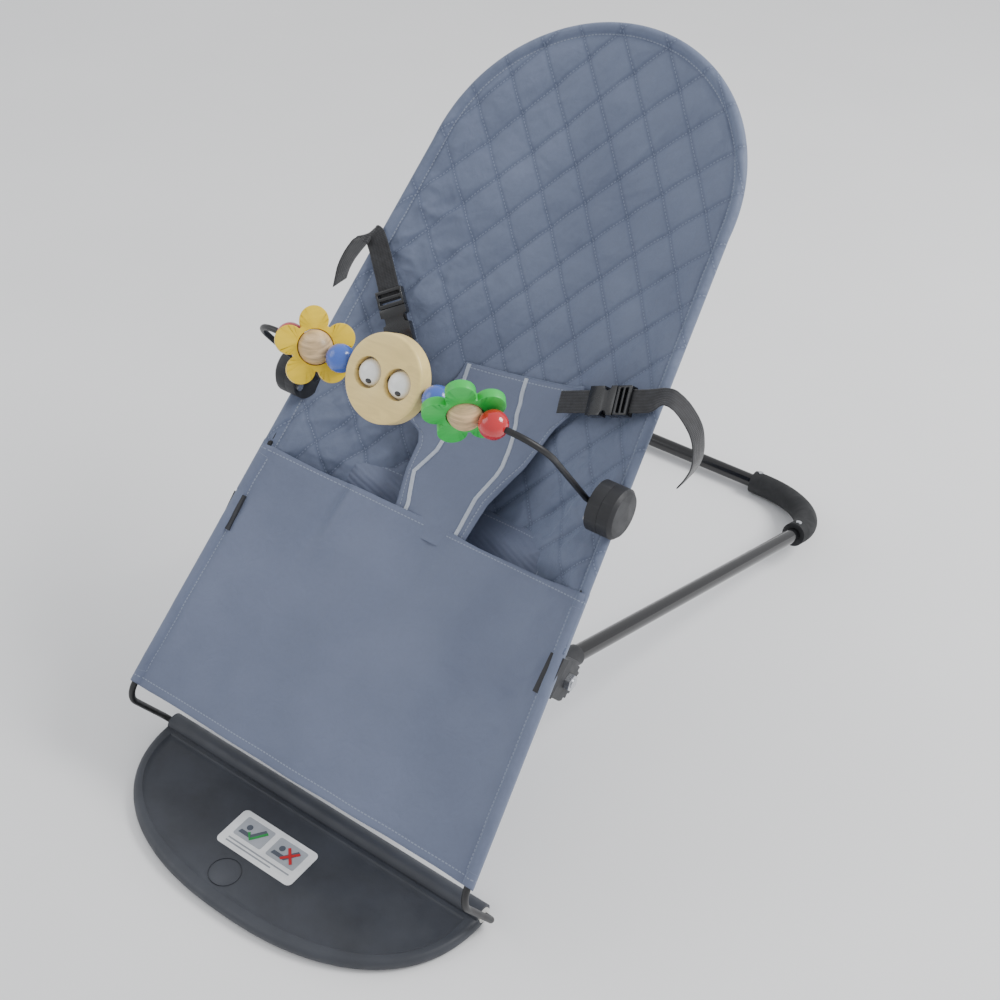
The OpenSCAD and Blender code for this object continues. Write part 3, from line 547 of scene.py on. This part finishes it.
lengthwise = np.linspace(PANEL_S[0] + 2, PANEL_S[1] - 1.5, 60)
lines = []
for side in (-1, 1):
    centre = np.interp(lengthwise, stations, centre_line) + side * np.interp(lengthwise, stations, piping_half)
    span = np.array([-2.0, -1.7, -1.0, -0.35, 0.0, 0.35, 1.0, 1.7, 2.0])
    crown = np.array([-0.5, 0.25, 0.5, 0.42, 0.15, 0.42, 0.5, 0.25, -0.5])
    at_x = centre[:, None] + span[None]
    lift_s = lengthwise[:, None] + (0.14 * at_x + 3) * ((lengthwise[:, None] - PANEL_S[0]) / 162.3) ** 3
    surface = np.array([[panel_top(a, b) for a, b in zip(p, q)] for p, q in zip(at_x, lift_s)])
    surface = surface.mean(1, keepdims=True) * 0.6 + surface * 0.4
    front = place(at_x, lift_s, surface + 0.55 + crown[None])
    back = place(at_x, lift_s, surface - 0.3 + 0 * crown[None])
    lines.append(grid("piping_line", two_layers(front, back), looks["piping"], ring=True))
for line, name in zip(lines, ("panel_piping_left", "panel_piping_right")):
    line.name = line.data.name = name
    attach(line, "seat")
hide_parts("panel_piping")
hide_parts("panel_piping")

# ---------------------------------------------------------------- the ribbed pad in the pocket
v = np.linspace(0, 1, 90)[:, None]
u = across_steps(110.0, 1.6)[None]
round_off = np.sqrt(np.clip(1 - (np.abs(u) / 1.02) ** 6, 0, 1))
S = COVER_LEN * 0.82 + COVER_LEN * 0.3 * v * (0.86 + 0.14 * round_off)
X = u * rail_x(S) * 0.66
rim_gap = np.minimum((1 - np.abs(u)) * 110, np.minimum(v, 1 - v) * 72)
body = 2.4 * (1 - np.exp(-rim_gap / 2.2)) + 3.4 * smooth(rim_gap / 24)
ribs = 0.55 * np.abs(np.sin(np.pi * (S + 0.32 * X) / 5.2)) * smooth((rim_gap - 4) / 4)
mid = hollow(X, S) + 4.0
front_n, back_n = mid + body + ribs + 6 * smooth(v * 1.2) * smooth(rim_gap / 20), mid - 1.5 * (1 - np.exp(-rim_gap))
seam = rim_gap - 4.2
fields = {"seam": two_layers(seam, seam), "along": two_layers(X + 0 * S, X + 0 * S)}
pad = grid("pocket_pad_cloth", two_layers(place(X, S, front_n), place(X, S, back_n)), looks["cloth"], fields, ring=True)
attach(pad, "seat")
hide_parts("pocket_pad")

# ---------------------------------------------------------------- the webbing
WEB_W, WEB_T, WING_TIP = 20.0, 1.5, 74.0
STRAPS = {
    "left": {
        "side": -1,
        "wing_s": 340.0,
        "rail_s": 451.0,
        "lift": 27.0,
        "female": 54.0,
        "tail": [(7, 1), (14, -4), (21, -13), (30, -26), (37, -38), (42, -50), (46, -62)],
    },
    "right": {
        "side": 1,
        "wing_s": 388.0,
        "rail_s": 408.0,
        "lift": 20.0,
        "female": 30.0,
        "tail": [(7, 6), (14, 9), (24, 6), (34, -3), (41, -14), (44, -28), (44, -41), (40, -54), (34, -66)],
    },
}
WORLD_Y = np.array([0.0, math.cos(ANGLE), -math.sin(ANGLE)])
WORLD_Z = np.array([0.0, math.sin(ANGLE), math.cos(ANGLE)])


def unit(v):
    return v / np.linalg.norm(v)


def curve(points, step=1.0):
    """A smooth line through points, at about one point a step."""
    points = np.array(points, float)
    ends = np.concatenate([[2 * points[0] - points[1]], points, [2 * points[-1] - points[-2]]])
    made = []
    for a, b, c, d in zip(ends, ends[1:], ends[2:], ends[3:]):
        for t in np.linspace(0, 1, max(2, int(np.linalg.norm(c - b) / step)) + 1)[:-1]:
            made.append(0.5 * (2 * b + (c - a) * t + (2 * a - 5 * b + 4 * c - d) * t**2 + (3 * b - a - 3 * c + d) * t**3))
    return np.array([*made, points[-1]])


def ribbon(name, side, line, wide, body, seed):
    """Webbing along line, whose width runs along wide at each point."""
    ahead = np.gradient(line, axis=0)
    ahead = ahead / np.linalg.norm(ahead, axis=1, keepdims=True)
    wide = wide - ahead * (wide * ahead).sum(1, keepdims=True)
    wide = wide / np.linalg.norm(wide, axis=1, keepdims=True)
    up = np.cross(ahead, wide)
    length = np.concatenate([[0], np.cumsum(np.linalg.norm(np.diff(line, axis=0), axis=1))])
    w = np.array([-1, -0.985, -0.95, -0.88, -0.7, -0.45, -0.2, 0, 0.2, 0.45, 0.7, 0.88, 0.95, 0.985, 1])
    half_t = WEB_T / 2 * np.sqrt(np.clip(1 - np.abs(w) ** 14, 0, 1))
    fray = 1 + 0.012 * lattice(length / 3.1, 0 * length + 3, seed)[:, None]
    wave = 0.25 * lattice(length[:, None] / 16, w[None] * 1.3 + 6, seed + 1)
    end = np.minimum(1, np.minimum(length, length[-1] - length) / 0.6 + 0.15)[:, None]
    layers = []
    for sign in (1, -1):
        flat = line[:, None] + wide[:, None] * (w[None] * fray * WEB_W / 2)[..., None]
        layers.append(flat + up[:, None] * (sign * half_t[None] * end + wave)[..., None])
    points = [place(side * g[..., 0], g[..., 1], g[..., 2]) for g in layers]
    along = np.broadcast_to(length[:, None], (len(length), len(w)))
    across = np.broadcast_to(w[None] * WEB_W / 2, along.shape)
    fields = {"along": two_layers(along, along), "across": two_layers(across, across)}
    made = grid(name + "_webbing", two_layers(*points), looks["webbing"], fields, ring=True)
    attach(made, body)
    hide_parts(name)


for hand, strap in STRAPS.items():
    wing_at, rail_at = strap["wing_s"], strap["rail_s"]
    start = np.array([WING_TIP - 4, wing_at, float(hollow(WING_TIP - 4, wing_at)) + strap["lift"]])
    cross_at = np.array([rail_x(rail_at), rail_at, WIRE_R + 8])
    run = unit(cross_at - start)
    flat_w = unit(np.array([-run[1], run[0], 0]))
    first = curve([start - 16 * run, start + 15 * run, start + (strap["female"] + 2) * run])
    ribbon("wing_strap_" + hand, strap["side"], first, np.tile(flat_w, (len(first), 1)), "seat", 71)
    tail = [cross_at + np.array([out, 0, 0]) + WORLD_Z * rise for out, rise in strap["tail"]]
    second = curve([start + run * (strap["female"] + 31.5), cross_at - run * 5, *tail])
    gone = np.linalg.norm(second - second[0], axis=1) - np.linalg.norm(cross_at - second[0]) + 6
    turned = smooth(gone / 32)[:, None]
    ribbon("rail_strap_" + hand, strap["side"], second, flat_w * (1 - turned) + WORLD_Y * turned, "male_" + hand, 83)

# ---------------------------------------------------------------- the label's generic shapes
label_lo, label_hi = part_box("foot_label")
label_lo, label_hi = label_lo * 1000, label_hi * 1000
PRINT_T = 0.12


def printed(name, outlines, tone, level=0.0):
    """Flat shapes on the label: outlines are lists of corners in mm from the label's lowest corner."""
    work = bmesh.new()
    for outline in outlines:
        base = label_hi.z + 0.02 + level
        low = [work.verts.new((label_lo.x + x, label_lo.y + y, base)) for x, y in outline]
        top = [work.verts.new((label_lo.x + x, label_lo.y + y, base + PRINT_T)) for x, y in outline]
        work.faces.new(top)
        work.faces.new(low[::-1])
        for i in range(len(outline)):
            j = (i + 1) % len(outline)
            work.faces.new((low[i], low[j], top[j], top[i]))
    bmesh.ops.recalc_face_normals(work, faces=work.faces)
    mesh = bpy.data.meshes.new(name)
    work.to_mesh(mesh)
    work.free()
    mesh.transform(Matrix.Scale(0.001, 4))
    mesh.materials.append(moulded(name + "_ink", tone, 0.4, 500, 0.05, 0.0))
    made = bpy.data.objects.new(name, mesh)
    bpy.context.scene.collection.objects.link(made)
    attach(made, "foot")
    return made


def rounded_box(x0, y0, x1, y1, r, steps=6):
    made = []
    for cx, cy, start in ((x1 - r, y1 - r, 0), (x0 + r, y1 - r, 90), (x0 + r, y0 + r, 180), (x1 - r, y0 + r, 270)):
        for k in range(steps + 1):
            a = math.radians(start + 90 * k / steps)
            made.append((cx + r * math.cos(a), cy + r * math.sin(a)))
    return made


def stroke(points, width):
    """A band of the given width along points."""
    made = []
    for sign in (1, -1):
        line = points if sign > 0 else points[::-1]
        for i, p in enumerate(line):
            a, b = line[max(0, i - 1)], line[min(len(line) - 1, i + 1)]
            dx, dy = b[0] - a[0], b[1] - a[1]
            size = math.hypot(dx, dy)
            made.append((p[0] - dy / size * width / 2, p[1] + dx / size * width / 2))
    return made


printed("label_panels", [rounded_box(8, 14, 40, 36, 2), rounded_box(46, 14, 78, 36, 2)], rgb(168, 172, 178))
seat_shape = [(3, 4), (18, 4), (27, 17), (23, 19), (15, 8), (4, 8)]
dot = [(5 + 3 * math.cos(a), 13 + 3 * math.sin(a)) for a in np.linspace(0, 2 * math.pi, 15)[:-1]]
shapes = []
for left in (8, 46):
    shapes += [[(left + x, 14 + y) for x, y in seat_shape], [(left + 4 + x, 14 + y) for x, y in dot]]
printed("label_shapes", shapes, rgb(84, 90, 100), 0.15)
printed("label_tick", [stroke([(20, 23), (25, 17), (35, 31)], 2.6)], rgb(40, 150, 70), 0.3)
crossed = [stroke([(60, 18), (72, 31)], 2.6)]
printed("label_cross", crossed, rgb(200, 36, 40), 0.3)
printed("label_cross_bar", [stroke([(60, 31), (72, 18)], 2.6)], rgb(200, 36, 40), 0.45)
printed("label_bars", [rounded_box(8, 8.4, 78, 9.8, 0.6), rounded_box(8, 4.8, 60, 6.2, 0.6)], rgb(150, 154, 160))

# ---------------------------------------------------------------- floor, light and camera
floor_mesh = bpy.data.meshes.new("floor")
floor_mesh.from_pydata([(-5, -5, 0), (5, -5, 0), (5, 5, 0), (-5, 5, 0)], [], [(0, 1, 2, 3)])
ground = Shader("studio_floor", 0.85, Specular_IOR_Level=0.1)
ground.colour(ground.ramp(ground.noise(3, 3), (0.3, (0.86, 0.86, 0.862, 1)), (0.7, (0.89, 0.89, 0.892, 1))))
floor_mesh.materials.append(ground.material)
floor = bpy.data.objects.new("floor", floor_mesh)
bpy.context.scene.collection.objects.link(floor)

world = bpy.data.worlds.new("studio")
world.use_nodes = True
world.node_tree.nodes["Background"].inputs[0].default_value = (0.93, 0.94, 0.96, 1)
world.node_tree.nodes["Background"].inputs[1].default_value = 0.95
bpy.context.scene.world = world


def area_light(name, place_at, aim, size, power, tone=(1, 1, 1)):
    data = bpy.data.lights.new(name, "AREA")
    data.shape, data.size, data.energy, data.color = "DISK", size, power, tone
    made = bpy.data.objects.new(name, data)
    made.location = place_at
    made.rotation_euler = (Vector(aim) - Vector(place_at)).to_track_quat("-Z", "Y").to_euler()
    bpy.context.scene.collection.objects.link(made)


area_light("key", (1.5, 1.0, 1.9), (0, 0, 0.2), 1.1, 48)
area_light("fill", (-1.8, -1.2, 1.6), (0, 0, 0.2), 1.8, 12, (0.95, 0.97, 1))

camera_data = bpy.data.cameras.new("camera")
camera_data.sensor_width, camera_data.lens = 36, 52.70
camera_data.shift_x, camera_data.shift_y = 0.0489, 0.0385
camera_data.clip_start, camera_data.clip_end = 0.01, 50
camera = bpy.data.objects.new("camera", camera_data)
right, up, back = (0.80073, 0.59902, 0.0), (-0.38903, 0.52003, 0.76041), (0.4555, -0.6089, 0.6494)
turn = Matrix((right, up, back)).transposed()
camera.matrix_world = Matrix.Translation((0.592897, hinge[1] - 0.596541, 1.041345)) @ turn.to_4x4()
bpy.context.scene.collection.objects.link(camera)
bpy.context.scene.camera = camera
